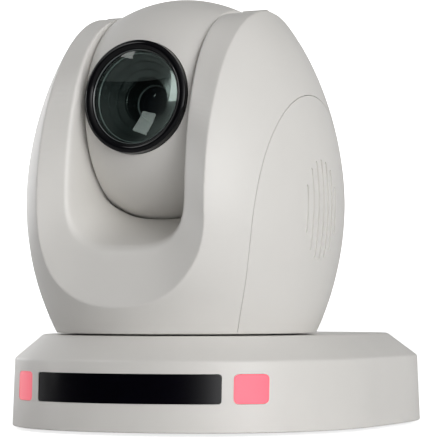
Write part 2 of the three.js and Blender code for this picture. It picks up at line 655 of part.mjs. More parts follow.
function buildCameraBlock() {
  const { front: f, bezelR, glassR, barrelR, bore, baffleR, zoomAt, focusAt } = LENS;
  const bezel = turned(
    [[24, f + 12], [bezelR, f + 12], [bezelR, f + 0.8], [bezelR - 0.8, f], [25.1, f + 0.1],
      [glassR + GAP, f + 1.4], [glassR + GAP, f + 4], [24, f + 4], [24, f + 12]],
    "y", 32,
  );
  add(head, "lens_bezel", bezel, "black");
  const barrel = turned(
    [[9, -9], [barrelR, -9], [barrelR, f + 4.4], [21.2, f + 4.4], [21.2, f + 7], [baffleR, f + 13],
      [baffleR, f + 13.8], [bore, f + 9], [bore, -11], [9, -11], [9, -9]],
    "y",
  );
  add(head, "lens_barrel", barrel, "black");
  const frontFace = steps(4, 0, 1).map((t) => [glassR * t, f + 0.9 + 1.3 * t * t]);
  const rearFace = steps(4, 1, 0).map((t) => [glassR * t, f + 3.8 + 5 * (1 - t * t)]);
  add(head, "front_lens", turned([...frontFace, ...rearFace], "y", 28), "glass");
  buildCell("zoom", zoomAt, 5, 9.6, 1.2);
  buildCell("focus", focusAt, 3, 9, 1);
  for (const [name, x] of [["guide_rod_left", -GUIDE.x], ["guide_rod_right", GUIDE.x]]) {
    add(head, name, rod(GUIDE.radius, f + 14, -11.3, "y", 12).translate(x, 0, 0), "steel");
  }
  const block = box(-20, 20, -8.7, 32, -22, 20).subtract(box(-17.6, 17.6, -6, 40, -19.6, 17.6));
  add(head, "camera_block", block.subtract(rod(9, -12, -4, "y")), "black");
  const sensor = box(-4.4, 4.4, -3.2, -2, -3.4, 3.4);
  add(head, "sensor_board", box(-17, 17, -2, -0.4, -19, 17).add(sensor), "board");
  add(head, "video_board", box(-17, 17, 20, 21.6, -19, 17), "board");
}

buildBase();
buildYokeFrame();
buildYokeShells();
buildHead();

export default group;
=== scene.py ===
"""Looks of a pan-tilt-zoom camera: fine shells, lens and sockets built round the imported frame.

Shapes are worked out in millimetres from the pan axis, then placed in the frame's metres. Three local frames
are used: the base's and the yoke's, both with their origin on the pan axis at table height, and the head's,
with its origin on the tilt axis and its lens along -Y.
"""

import json
import math

import bmesh
import bpy
import numpy as np
from mathutils import Matrix, Vector


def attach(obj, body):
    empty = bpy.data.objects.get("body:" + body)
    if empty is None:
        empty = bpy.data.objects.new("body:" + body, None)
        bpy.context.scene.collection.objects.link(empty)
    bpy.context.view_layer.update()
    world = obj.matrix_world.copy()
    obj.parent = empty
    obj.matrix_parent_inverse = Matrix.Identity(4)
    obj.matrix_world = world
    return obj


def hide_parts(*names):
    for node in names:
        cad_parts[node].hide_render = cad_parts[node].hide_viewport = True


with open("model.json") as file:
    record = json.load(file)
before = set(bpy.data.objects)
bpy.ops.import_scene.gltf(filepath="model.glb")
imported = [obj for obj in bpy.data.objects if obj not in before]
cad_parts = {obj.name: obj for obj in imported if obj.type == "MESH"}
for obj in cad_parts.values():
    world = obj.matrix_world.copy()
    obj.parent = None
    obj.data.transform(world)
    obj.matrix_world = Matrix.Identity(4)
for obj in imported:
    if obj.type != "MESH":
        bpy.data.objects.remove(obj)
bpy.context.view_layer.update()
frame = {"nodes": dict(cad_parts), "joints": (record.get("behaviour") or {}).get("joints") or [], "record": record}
JOINTS = {joint["name"]: joint for joint in frame["joints"]}

# ---------------------------------------------------------------- places, from the frame
MM = 0.001
PAN_Y = JOINTS["pan"]["pos_m"][1]
TILT = Vector(JOINTS["tilt"]["pos_m"])
LENS_AXIS = Vector(JOINTS["zoom"]["axis"])  # the way the lens looks at rest
REST_TILT = math.asin(LENS_AXIS.z)
REST_PAN = math.atan2(LENS_AXIS.x, -LENS_AXIS.y)

ON_BASE = Matrix.Translation((0, PAN_Y, 0)) @ Matrix.Scale(MM, 4)
REST_TURN = Matrix.Rotation(REST_PAN, 4, "Z")
ON_YOKE = Matrix.Translation((0, PAN_Y, 0)) @ REST_TURN @ Matrix.Scale(MM, 4)
IN_HEAD = Matrix.Translation(TILT) @ REST_TURN @ Matrix.Rotation(-REST_TILT, 4, "X") @ Matrix.Scale(MM, 4)

# ---------------------------------------------------------------- driving dimensions, in millimetres
SEAM = 0.15  # half of the gap between two shells
CLEARANCE = 0.2  # round a piece that sits in a hole
WALL = 3.0

BASE = {
    "half_width": 89, "front": 77, "rear": 128.5, "widest": 21.7, "front_power": 2.2, "rear_power": 4.5,
    "bottom": 1.5, "shoulder": 34, "top": 45.2, "draft": 1.2, "chamfer": 13.2, "wall": 2.5,
    "pan_opening": 30,
}
WINDOW = {"half_length": 46.6, "low": 14.8, "high": 28.1, "corner": 1.6, "thickness": 2, "recess": 0.5}
TALLY = {"inner": 51.5, "outer": 63.9, "corner": 2.4, "recess": 0.1}
RECESS = {"half_width": 62, "low": 8, "high": 34, "depth": 16, "corner": 3}
RECESS_Y = BASE["rear"] - RECESS["depth"]

EGG = {
    "radius": 76.6, "waist": 108, "upper": 114.7, "upper_power": 1.842, "lower": 108.2,
    "lower_power": 1.95, "bottom": 46, "top": 221, "stretch": 0.08,
    "depth_share": 0.2132,  # how much the depth counts in the width seen from the front right
}
FRONT_SCOOP = {
    "crease": (44.1, 58.3, 102.6, 2.3),  # half-width, bottom, centre height and superellipse power
    "bend": (30.2, 86.3, 112, 3),
    "lip": (29.4, 100, 122, 2.8),
}
REAR_SCOOP = {
    "crease": (44.1, 128, 158, 2.3),
    "bend": (30.2, 136, 158, 3),
    "lip": (29.4, 138, 158, 3),
}
BEND = {"depth": 61.1, "centre": 95, "height": 103, "power": 2.6}
LIP_DEPTH = 24
SIDE_COVER = {"half_width": 49, "centre": 95, "upper": 63, "lower": 85, "inner_x": 36.4}
VENT = {
    "slots": 7, "pitch": 4.6, "width": 1.8, "half_height": 23.5, "half_width": 15.7, "y": -4, "z": 104,
    "depth": 0.7,
}
SPLIT_Y = 24
ARM_TIP_Z = 190  # above this the space between the arms is straight-sided
ARM_TIP_CLEARANCE = 0.15
SOLID_TIP_Z = 184  # above this the arms are solid
TIP_HALF_DEPTH = 34
BEND_ROUND = {"outside": 0.14, "inside": 0.1}  # shares of the faces that the round at the bend takes
SOFT_EDGES = {"voxel": 0.55, "rounds": 2}
FAR = 99  # further out than any shell
ABOVE = 230  # higher than any shell

FEET = [(-48, -22), (48, -22), (-56, 92), (56, 92)]
PLATE_SCREWS = [(-66, 0), (66, 0), (-66, 108), (66, 108), (0, -56)]
PANEL_Y = RECESS_Y - 0.3  # outer face of the socket panel
SOCKET_Z = 20
ACROSS = {"coaxial": -38, "lan": -18, "serial": 2, "hdmi": 22, "power": 38, "dial": 52}  # each socket's x
NETWORK = {"width": 16, "height": 14, "cavity_width": 11.8, "cavity_height": 8.4, "corner": 0.5}
VIDEO = {"width": 16, "height": 7, "cavity_width": 14.2, "cavity_height": 5, "corner": 1.1}
CONTACTS = {"count": 8, "pitch": 1.02, "half_width": 0.22}
TRIPOD = {"outer": 7, "minor": 3.1, "major": 3.6, "pitch": 1.27, "turns": 8, "top": 12}

TILT_HEIGHT = TILT.z / MM
HEAD = {"radius": 55.4, "half_width": 28.4, "fall": 6.6, "wall": 2.5, "split_y": 10}
HEAD_GAP = 0.8
TRUNNION_HOLE = 8.5
LENS = {
    "bezel": 26.7, "front": -53, "glass": 22.3, "barrel": 23, "bore": 19.4, "baffle": 10.8,
    "zoom": -33, "focus": -18, "cell": 19, "iris": 8.2,
}
DISH = {"radius": 24.8, "curve": 0.22}  # the hollow in the bezel's front face
BAFFLE = {"mouth": 21.2, "start": 7, "depth": 6, "steps": 3, "tread": 0.85, "rise": 1.2}
GUIDE = {"x": 16.4, "bore": 1.3}


# ---------------------------------------------------------------- outlines
def super_root(t, power):
    """A superellipse's coordinate, as a share of its half-width, from a circle's."""
    return np.sign(t) * np.abs(t) ** (2 / power)


def smooth(t):
    """A step from 0 to 1 with level ends."""
    t = np.clip(t, 0, 1)
    return t * t * (3 - 2 * t)


def fillet(points, radii, steps=6, closed=False):
    """The outline with a round of the given radius at each corner; a radius of 0 keeps the corner."""
    rounded = []
    count = len(points)
    for i, (corner, radius) in enumerate(zip(points, radii)):
        here = Vector(corner)
        if radius == 0 or (not closed and i in (0, count - 1)):
            rounded.append(tuple(here))
            continue
        to_last = Vector(points[i - 1]) - here
        to_next = Vector(points[(i + 1) % count]) - here
        half = to_last.angle(to_next) / 2
        reach = min(radius / math.tan(half), to_last.length * 0.49, to_next.length * 0.49)
        start = here + to_last.normalized() * reach
        end = here + to_next.normalized() * reach
        for k in range(steps + 1):
            t = k / steps
            rounded.append(tuple(start * (1 - t) ** 2 + here * 2 * t * (1 - t) + end * t * t))
    return rounded


def rounded_rectangle(x0, x1, z0, z1, radius, steps=6):
    return fillet([(x0, z0), (x1, z0), (x1, z1), (x0, z1)], [radius] * 4, steps, closed=True)


# ---------------------------------------------------------------- mesh building
def make_object(name, mesh):
    piece = bpy.data.objects.new(name, mesh)
    bpy.context.scene.collection.objects.link(piece)
    return piece


def tidy_mesh(mesh):
    """Joins points that coincide, and turns the faces of a closed mesh outwards."""
    shape = bmesh.new()
    shape.from_mesh(mesh)
    bmesh.ops.remove_doubles(shape, verts=shape.verts, dist=1e-4)
    bmesh.ops.dissolve_degenerate(shape, edges=shape.edges, dist=1e-5)
    bmesh.ops.recalc_face_normals(shape, faces=shape.faces)
    if shape.calc_volume(signed=True) < 0:
        bmesh.ops.reverse_faces(shape, faces=shape.faces)
    shape.to_mesh(mesh)
    shape.free()


def loft(rings, name="tool", closed=False):
    """A skin over rows of points, each row a closed ring. The ends are capped unless the rows close."""
    rows = [np.asarray(ring, float) for ring in rings]
    count = len(rows[0])
    verts = np.concatenate(rows)
    faces = []
    for r in range(len(rows) if closed else len(rows) - 1):
        a, b = r * count, ((r + 1) % len(rows)) * count
        faces += [(a + i, a + (i + 1) % count, b + (i + 1) % count, b + i) for i in range(count)]
    points = verts.tolist()
    if not closed:
        for first, row in ((0, rows[0]), ((len(rows) - 1) * count, rows[-1])):
            points.append(row.mean(0).tolist())
            faces += [(first + i, first + (i + 1) % count, len(points) - 1) for i in range(count)]
    mesh = bpy.data.meshes.new(name)
    mesh.from_pydata(points, [], faces)
    tidy_mesh(mesh)
    return make_object(name, mesh)


def lathe(profile, axis, segments=128, name="tool"):
    """A solid of revolution from (radius, place) points that end on the axis, or that close on themselves."""
    turn = np.linspace(0, 2 * math.pi, segments, endpoint=False)
    order = {"x": (2, 0, 1), "y": (0, 2, 1), "z": (0, 1, 2)}[axis]
    closed = profile[0][0] > 0
    rings = []
    for radius, place in profile:
        flat = np.stack([radius * np.cos(turn), radius * np.sin(turn), np.full(segments, place)], 1)
        rings.append(flat[:, order])
    return loft(rings, name, closed)


def prism(points, axis, start, end, name="tool"):
    """An outline of (y, z), (x, z) or (x, y) points, pushed along x, y or z."""
    order = {"x": (2, 0, 1), "y": (0, 2, 1), "z": (0, 1, 2)}[axis]
    flat = np.asarray(points, float)
    return loft([np.column_stack([flat, np.full(len(flat), w)])[:, order] for w in (start, end)], name)


def block(x0, x1, y0, y1, z0, z1):
    return prism([(x0, y0), (x1, y0), (x1, y1), (x0, y1)], "z", z0, z1)


def rod(radius, start, end, axis, segments=96):
    return lathe([(0, start), (radius, start), (radius, end), (0, end)], axis, segments)


def evaluated(piece):
    """Puts the result of the piece's modifiers in its mesh."""
    graph = bpy.context.evaluated_depsgraph_get()
    mesh = bpy.data.meshes.new_from_object(piece.evaluated_get(graph))
    piece.modifiers.clear()
    piece.data = mesh
    return piece


def combine(piece, tool, operation, keep_tool=False):
    """Cuts, joins or intersects a piece with a tool, which is used up unless it is kept."""
    cut = piece.modifiers.new("cut", "BOOLEAN")
    cut.operation = operation
    cut.solver = "MANIFOLD"
    cut.object = tool
    evaluated(piece)
    if not keep_tool:
        bpy.data.objects.remove(tool)
    return piece


def minus(piece, *tools):
    for tool in tools:
        combine(piece, tool, "DIFFERENCE")
    return piece


def within(piece, tool):
    return combine(piece, tool, "INTERSECT")


def joined(piece, *tools):
    for tool in tools:
        combine(piece, tool, "UNION")
    return piece


def moved(piece, x=0.0, y=0.0, z=0.0):
    piece.data.transform(Matrix.Translation((x, y, z)))
    return piece


def copied(piece):
    return make_object("copy", piece.data.copy())


def softened(piece, voxel, rounds):
    """Remeshes evenly and smooths, which rounds every edge like a moulding's."""
    remesh = piece.modifiers.new("even", "REMESH")
    remesh.mode = "VOXEL"
    remesh.voxel_size = voxel
    relax = piece.modifiers.new("relax", "SMOOTH")
    relax.factor = 0.5
    relax.iterations = rounds
    return evaluated(piece)


def place(piece, name, body, placement, material, slot, replaces=(), crease=32):
    """Names and shades a finished piece, puts it in the frame and lets it ride on its body."""
    piece.name = name
    piece.data.name = name
    piece.data.transform(placement)
    piece.data.polygons.foreach_set("use_smooth", [True] * len(piece.data.polygons))
    piece.data.set_sharp_from_angle(angle=math.radians(crease))
    piece.data.materials.clear()
    piece.data.materials.append(material)
    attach(piece, body)
    if replaces:
        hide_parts(*replaces)
    return piece


# ---------------------------------------------------------------- materials
def new_material(name):
    material = bpy.data.materials.new(name)
    material.use_nodes = True
    nodes = material.node_tree.nodes
    return material, nodes, material.node_tree.links, nodes["Principled BSDF"]


def add_noise(nodes, links, scale, detail=2.0, stretch=(1, 1, 1)):
    """Noise over the object's own space, with features about 1 / scale metres across."""
    coordinates = nodes.new("ShaderNodeTexCoord")
    mapping = nodes.new("ShaderNodeMapping")
    mapping.inputs["Scale"].default_value = stretch
    noise = nodes.new("ShaderNodeTexNoise")
    noise.inputs["Scale"].default_value = scale
    noise.inputs["Detail"].default_value = detail
    links.new(coordinates.outputs["Object"], mapping.inputs["Vector"])
    links.new(mapping.outputs["Vector"], noise.inputs["Vector"])
    return noise


def add_bump(nodes, links, shader, height, strength, distance):
    bump = nodes.new("ShaderNodeBump")
    bump.inputs["Strength"].default_value = strength
    bump.inputs["Distance"].default_value = distance
    links.new(height, bump.inputs["Height"])
    links.new(bump.outputs["Normal"], shader.inputs["Normal"])


def add_range(nodes, links, value, low, high):
    """Spreads a noise, which stays near a half, over a range."""
    spread = nodes.new("ShaderNodeMapRange")
    spread.inputs["From Min"].default_value = 0.3
    spread.inputs["From Max"].default_value = 0.7
    spread.inputs["To Min"].default_value = low
    spread.inputs["To Max"].default_value = high
    links.new(value, spread.inputs["Value"])
    return spread.outputs["Result"]


def add_gloss(nodes, links, shader, noise, roughness, low, high):
    """Roughness that follows a noise, between two shares of its usual value."""
    varied = add_range(nodes, links, noise.outputs["Fac"], roughness * low, roughness * high)
    links.new(varied, shader.inputs["Roughness"])


def add_colours(nodes, links, value, colours):
    """A noise spread between two colours."""
    ramp = nodes.new("ShaderNodeValToRGB")
    ramp.color_ramp.elements[0].color = (*colours[0], 1)
    ramp.color_ramp.elements[1].color = (*colours[1], 1)
    ramp.color_ramp.elements[0].position = 0.35
    ramp.color_ramp.elements[1].position = 0.65
    links.new(value, ramp.inputs["Fac"])
    return ramp.outputs["Color"]


def plastic(name, colour, roughness, grain=1800, bump=0.12, variation=0.03, specular=0.5):
    """Moulded plastic: faint mottling of the colour, a fine spark-eroded grain and uneven gloss."""
    material, nodes, links, shader = new_material(name)
    shader.inputs["Specular IOR Level"].default_value = specular
    mottle = add_noise(nodes, links, 60, 3)
    dark = tuple(c * (1 - variation) for c in colour)
    light = tuple(min(1, c * (1 + variation)) for c in colour)
    links.new(add_colours(nodes, links, mottle.outputs["Fac"], (dark, light)), shader.inputs["Base Color"])
    fine = add_noise(nodes, links, grain, 2)
    add_gloss(nodes, links, shader, fine, roughness, 0.9, 1.1)
    add_bump(nodes, links, shader, fine.outputs["Fac"], bump, 0.00004)
    return material


def lit_plastic(name, colour, roughness, glow):
    """Translucent plastic with an even light behind it."""
    material = plastic(name, colour, roughness, bump=0.05, variation=0.01)
    shader = material.node_tree.nodes["Principled BSDF"]
    shader.inputs["Emission Color"].default_value = (*colour, 1)
    shader.inputs["Emission Strength"].default_value = glow
    return material


def metal(name, colour, roughness, stretch=(1, 1, 12)):
    """Brushed metal: long fine streaks in colour, gloss and height."""
    material, nodes, links, shader = new_material(name)
    shader.inputs["Metallic"].default_value = 1.0
    streaks = add_noise(nodes, links, 900, 3, stretch)
    dark = tuple(c * 0.88 for c in colour)
    links.new(add_colours(nodes, links, streaks.outputs["Fac"], (dark, colour)), shader.inputs["Base Color"])
    add_gloss(nodes, links, shader, streaks, roughness, 0.75, 1.3)
    add_bump(nodes, links, shader, streaks.outputs["Fac"], 0.15, 0.00005)
    return material


def circuit_board(name):
    """Green solder mask with lighter tracks under it."""
    material, nodes, links, shader = new_material(name)
    shader.inputs["Roughness"].default_value = 0.35
    coordinates = nodes.new("ShaderNodeTexCoord")
    tracks = nodes.new("ShaderNodeTexVoronoi")
    tracks.distance = "CHEBYCHEV"
    tracks.inputs["Scale"].default_value = 420
    links.new(coordinates.outputs["Object"], tracks.inputs["Vector"])
    mask = add_colours(nodes, links, tracks.outputs["Distance"], ((0.012, 0.09, 0.035), (0.03, 0.16, 0.07)))
    links.new(mask, shader.inputs["Base Color"])
    add_bump(nodes, links, shader, tracks.outputs["Distance"], 0.3, 0.00005)
    return material


def coated_glass(name, tint, coat_tint, reflectance, roughness=0.004):
    """Clear coated glass: light passes straight through it, and its coating tints what it reflects."""
    material, nodes, links, shader = new_material(name)
    shader.inputs["Base Color"].default_value = (*coat_tint, 1)
    shader.inputs["Metallic"].default_value = 1.0
    haze = add_noise(nodes, links, 40, 2)
    add_gloss(nodes, links, shader, haze, roughness, 0.8, 1.2)
    clear = nodes.new("ShaderNodeBsdfTransparent")
    clear.inputs["Color"].default_value = (*tint, 1)
    mix = nodes.new("ShaderNodeMixShader")
    mix.inputs["Fac"].default_value = reflectance
    links.new(clear.outputs["BSDF"], mix.inputs[1])
    links.new(shader.outputs["BSDF"], mix.inputs[2])
    links.new(mix.outputs["Shader"], nodes["Material Output"].inputs["Surface"])
    return material


SHELL = plastic("shell_plastic", (0.75, 0.733, 0.703), 0.38, variation=0.006)
BEZEL = plastic(
    "bezel_gloss", (0.004, 0.004, 0.005), 0.06, grain=900, bump=0.005, variation=0.1, specular=0.18
)
BARREL = plastic("barrel_black", (0.004, 0.007, 0.007), 0.22, grain=60, bump=0.002, variation=0.05)
WINDOW_GLOSS = plastic(
    "window_gloss", (0.0015, 0.0013, 0.003), 0.07, grain=700, bump=0.02, variation=0.1, specular=0.2
)
TALLY_PINK = lit_plastic("tally_pink", (1.0, 0.13, 0.19), 0.38, 0.35)
RUBBER = plastic("foot_rubber", (0.02, 0.02, 0.021), 0.8, grain=1200, bump=0.5, variation=0.2)
BLACK_PLASTIC = plastic("socket_black", (0.015, 0.015, 0.016), 0.45)
STEEL = metal("brushed_steel", (0.55, 0.56, 0.58), 0.3)
ALUMINIUM = metal("satin_aluminium", (0.62, 0.63, 0.65), 0.42, (1, 14, 1))
PANEL = plastic("panel_grey", (0.11, 0.112, 0.115), 0.5, grain=1500, bump=0.3)
BRASS = metal("turned_brass", (0.72, 0.53, 0.24), 0.3)
GOLD = metal("gold_contact", (0.85, 0.62, 0.25), 0.2)
BOARD = circuit_board("circuit_board")
WHITE_PLASTIC = plastic("white_insulation", (0.8, 0.8, 0.78), 0.4)
LAMP_GREEN = plastic("lamp_green", (0.05, 0.35, 0.08), 0.25)
LAMP_AMBER = plastic("lamp_amber", (0.6, 0.3, 0.03), 0.25)
FRONT_GLASS = coated_glass("front_glass", (0.94, 1.0, 0.98), (0.8, 0.82, 0.8), 0.045)
INNER_GLASS = plastic("inner_glass", (0.003, 0.005, 0.008), 0.03, grain=300, bump=0.01, variation=0.3)
# Thin rings and lips round the glasses: their lighter grey is partly a painted highlight, where their edges catch
# light.
GLINT_RIM = plastic("rim_grey_painted_glint", (0.09, 0.1, 0.1), 0.25, bump=0.03)


# ---------------------------------------------------------------- base
def plan_ring(inset, z, count=320):
    """The plan of the base, drawn in by an inset, at one height."""
    t = np.linspace(0, 2 * math.pi, count, endpoint=False)
    front = np.sin(t) < 0
    depth = np.where(front, BASE["front"] + BASE["widest"], BASE["rear"] - BASE["widest"]) - inset
    power = np.where(front, BASE["front_power"], BASE["rear_power"])
    x = (BASE["half_width"] - inset) * super_root(np.cos(t), power)
    y = BASE["widest"] + depth * super_root(np.sin(t), power)
    return np.stack([x, y, np.full(count, z)], 1)


def base_solid(offset, steps=6, count=320):
    """The base's outside, drawn in all round by an offset."""
    shoulder = BASE["draft"] + offset
    outline = [
        (offset + 6, BASE["bottom"]),
        (offset, BASE["bottom"]),
        (shoulder, BASE["shoulder"] - offset * 0.45),
        (shoulder + BASE["chamfer"], BASE["top"] - offset),
        (shoulder + BASE["chamfer"] + 14, BASE["top"] - offset),
    ]
    section = fillet(outline, [0, 0.8, 2.2, 2.6, 0], steps)
    return loft([plan_ring(inset, z, count) for inset, z in section])


def front_block(x0, x1, grow, corner):
    """A rounded block through the front wall, over the window's height."""
    outline = rounded_rectangle(x0 - grow, x1 + grow, WINDOW["low"] - grow, WINDOW["high"] + grow, corner)
    return prism(outline, "y", -90, -20)


def wall_piece(x0, x1, corner, recess):
    """A plate that follows the front wall, set back from it by its recess."""
    piece = base_solid(recess)
    minus(piece, base_solid(recess + WINDOW["thickness"], 2, 120))
    return within(piece, front_block(x0, x1, 0, corner))


def build_base():
    shell = base_solid(0)
    hollow = base_solid(BASE["wall"], 2, 120)
    minus(shell, hollow, loft([plan_ring(BASE["wall"], -5, 120), plan_ring(BASE["wall"], 6, 120)]))
    open_recess(shell)
    minus(shell, rod(BASE["pan_opening"], 30, 60, "z"))
    minus(shell, front_block(-WINDOW["half_length"], WINDOW["half_length"], CLEARANCE, WINDOW["corner"]))
    for side, name in ((-1, "tally_lens_left"), (1, "tally_lens_right")):
        x0, x1 = sorted((side * TALLY["inner"], side * TALLY["outer"]))
        minus(shell, front_block(x0, x1, CLEARANCE, TALLY["corner"]))
        lens = wall_piece(x0, x1, TALLY["corner"], TALLY["recess"])
        place(lens, name + "_fine", "base", ON_BASE, TALLY_PINK, "tally", [name])
    place(shell, "base_shell_fine", "base", ON_BASE, SHELL, "shell", ["base_shell"])
    build_window()
    build_underside()
    build_sockets()


def open_recess(shell):
    """Gives the base's rear wall a tray that holds the socket panel, and opens it."""
    width, low, high = RECESS["half_width"], RECESS["low"], RECESS["high"]
    tray = block(-width - 2, width + 2, RECESS_Y, BASE["rear"] - 2, low - 2, high + 2)
    joined(shell, within(tray, base_solid(1, 2, 120)))
    opening = rounded_rectangle(-width, width, low, high, RECESS["corner"])
    minus(shell, prism(opening, "y", RECESS_Y - 1, BASE["rear"] + 1))


def build_window():
    """The front window, with the fine groove that divides it in the middle."""
    window = wall_piece(-WINDOW["half_length"], WINDOW["half_length"], WINDOW["corner"], WINDOW["recess"])
    lean = BASE["draft"] * (WINDOW["low"] + WINDOW["high"]) / 2 / BASE["shoulder"]
    face = lean + WINDOW["recess"] - BASE["front"]
    minus(window, block(-0.15, 0.15, -BASE["front"] - 9, face + 0.4, WINDOW["low"] - 1, WINDOW["high"] + 1))
    place(window, "ir_window_fine", "base", ON_BASE, WINDOW_GLOSS, "window", ["ir_window"])


def build_underside():
    """Feet, bottom plate with its screws, and the tripod insert."""
    section = fillet([(20, 1.5), (2.8, 1.5), (2.8, 3.5), (20, 3.5)], [0, 0.5, 0.3, 0], 3)
    plate = loft([plan_ring(inset, z, 200) for inset, z in section])
    minus(plate, rod(TRIPOD["outer"] + 0.3, -1, 10, "z"))
    for index, (x, y) in enumerate(FEET):
        minus(plate, moved(rod(6.3, -1, 2.5, "z", 64), x, y))
        profile = fillet([(0, 0.35), (3.9, 0.35), (4.3, 0), (5.6, 0), (6, 1.5), (6, 2.2), (0, 2.2)],
                         [0, 0.3, 0.3, 0.5, 0, 0, 0], 4)
        foot = moved(lathe(profile, "z", 64), x, y)
        name = f"foot_{index + 1}"
        place(foot, name + "_fine", "base", ON_BASE, RUBBER, "rubber", [name])
    for index, (x, y) in enumerate(PLATE_SCREWS):
        minus(plate, moved(rod(3.2, -1, 2.4, "z", 48), x, y))
        head = fillet([(0, 0.7), (2.4, 0.9), (2.8, 1.5), (2.8, 2.3), (0, 2.3)], [0, 0.5, 0.2, 0, 0], 4)
        screw = lathe(head, "z", 48)
        for turn in (0, math.pi / 2):
            slot = block(-1.5, 1.5, -0.28, 0.28, 0, 1.6)
            slot.data.transform(Matrix.Rotation(turn, 4, "Z"))
            minus(screw, slot)
        place(moved(screw, x, y), f"plate_screw_{index + 1}", "base", ON_BASE, STEEL, "steel")
    place(plate, "bottom_plate_fine", "base", ON_BASE, ALUMINIUM, "aluminium", ["bottom_plate"])
    build_tripod_insert()


def build_tripod_insert():
    """A brass bush with its thread cut as rings."""
    outer, minor, major, top = (TRIPOD[key] for key in ("outer", "minor", "major", "top"))
    thread = [(outer, BASE["bottom"]), (outer, top), (minor, top)]
    for k in range(TRIPOD["turns"], 0, -1):
        height = 1.7 + k * TRIPOD["pitch"]
        thread += [(minor, height), (major, height - 0.55)]
    insert = lathe(thread + [(minor, 2.2), (major, BASE["bottom"])], "z", 96)
    place(insert, "tripod_insert_fine", "base", ON_BASE, BRASS, "brass", ["tripod_insert"])


def socket_outline(x, width, height, corner):
    """A rounded rectangle round a socket's middle."""
    z = SOCKET_Z
    return rounded_rectangle(x - width / 2, x + width / 2, z - height / 2, z + height / 2, corner)


def socket_shell(x, size):
    """A metal socket: a rounded box open at the back."""
    outline = socket_outline(x, size["width"], size["height"], size["corner"])
    shell = prism(outline, "y", PANEL_Y - 16, PANEL_Y + 0.5)
    mouth = socket_outline(x, size["cavity_width"], size["cavity_height"], size["corner"])
    return minus(shell, prism(mouth, "y", PANEL_Y - 13, PANEL_Y + 2))


def build_network_jack(name, x):
    """A network-style jack: metal shell, latch notch, eight spring contacts and two lamps."""
    z = SOCKET_Z
    shell = socket_shell(x, NETWORK)
    minus(shell, block(x - 3, x + 3, PANEL_Y - 9, PANEL_Y + 2, z - 6, z - 3))
    place(shell, name + "_fine", "base", ON_BASE, STEEL, "steel", [name])
    half = CONTACTS["half_width"]
    for k in range(CONTACTS["count"]):
        across = x + (k - (CONTACTS["count"] - 1) / 2) * CONTACTS["pitch"]
        contact = block(across - half, across + half, PANEL_Y - 12.5, PANEL_Y - 3, z + 2.6, z + 3.1)
        place(contact, f"{name}_contact_{k + 1}", "base", ON_BASE, GOLD, "brass")
    for side, label, lens in ((-1, "left", LAMP_GREEN), (1, "right", LAMP_AMBER)):
        middle = x + side * 5.2
        lamp = block(middle - 1.4, middle + 1.4, PANEL_Y + 0.4, PANEL_Y + 0.62, z + 5, z + 6.4)
        place(lamp, f"{name}_lamp_{label}", "base", ON_BASE, lens, "window")


def turned_piece(outline, radii=None, steps=4, segments=72):
    """A piece turned about a line square to the panel, from (radius, distance out of the panel) points."""
    section = fillet(outline, radii, steps) if radii else outline
    return lathe([(radius, PANEL_Y + along) for radius, along in section], "y", segments)


def build_panel():
    """The grey panel that the sockets stand in."""
    panel = prism(rounded_rectangle(-63, 63, 7, 35, 1), "y", PANEL_Y - 2, PANEL_Y)
    for key, size in (("lan", NETWORK), ("serial", NETWORK), ("hdmi", VIDEO)):
        hole = socket_outline(ACROSS[key], size["width"] + 0.3, size["height"] + 0.3, 0.6)
        minus(panel, prism(hole, "y", PANEL_Y - 3, PANEL_Y + 1))
    for key, radius in (("coaxial", 6), ("power", 5), ("dial", 4.5)):
        hole = rod(radius + CLEARANCE, PANEL_Y - 3, PANEL_Y + 1, "y")
        minus(panel, moved(hole, ACROSS[key], 0, SOCKET_Z))
    place(panel, "rear_panel_fine", "base", ON_BASE, PANEL, "aluminium", ["rear_panel"])


def build_sockets():
    z = SOCKET_Z
    build_panel()
    build_network_jack("lan_jack", ACROSS["lan"])
    build_network_jack("serial_jack", ACROSS["serial"])
    hdmi = socket_shell(ACROSS["hdmi"], VIDEO)
    place(hdmi, "hdmi_jack_fine", "base", ON_BASE, STEEL, "steel", ["hdmi_jack"])
    tongue = block(16.6, 27.4, PANEL_Y - 12.8, PANEL_Y - 1, z - 0.6, z + 0.6)
    place(tongue, "hdmi_tongue", "base", ON_BASE, BLACK_PLASTIC, "black")
    build_coaxial_connector()
    inlet = turned_piece(
        [(0, -12), (5, -12), (5, 0), (3.1, 0), (3.1, -11.4), (1, -11.4), (1, -2.4), (0, -2)],
        [0, 0, 0.6, 0.5, 0, 0, 0.4, 0],
    )
    inlet = moved(inlet, ACROSS["power"], 0, z)
    place(inlet, "dc_jack_fine", "base", ON_BASE, BLACK_PLASTIC, "black", ["dc_jack"])
    dial = turned_piece([(0, -2), (4.5, -2), (4.5, 1), (4, 1.6), (0, 1.6)], [0, 0, 0.3, 0.4, 0])
    minus(dial, block(-3.4, 3.4, PANEL_Y + 0.9, PANEL_Y + 3, -0.5, 0.5))
    dial = moved(dial, ACROSS["dial"], 0, z)
    place(dial, "format_dial_fine", "format_selector", ON_BASE, BLACK_PLASTIC, "black", ["format_dial"])


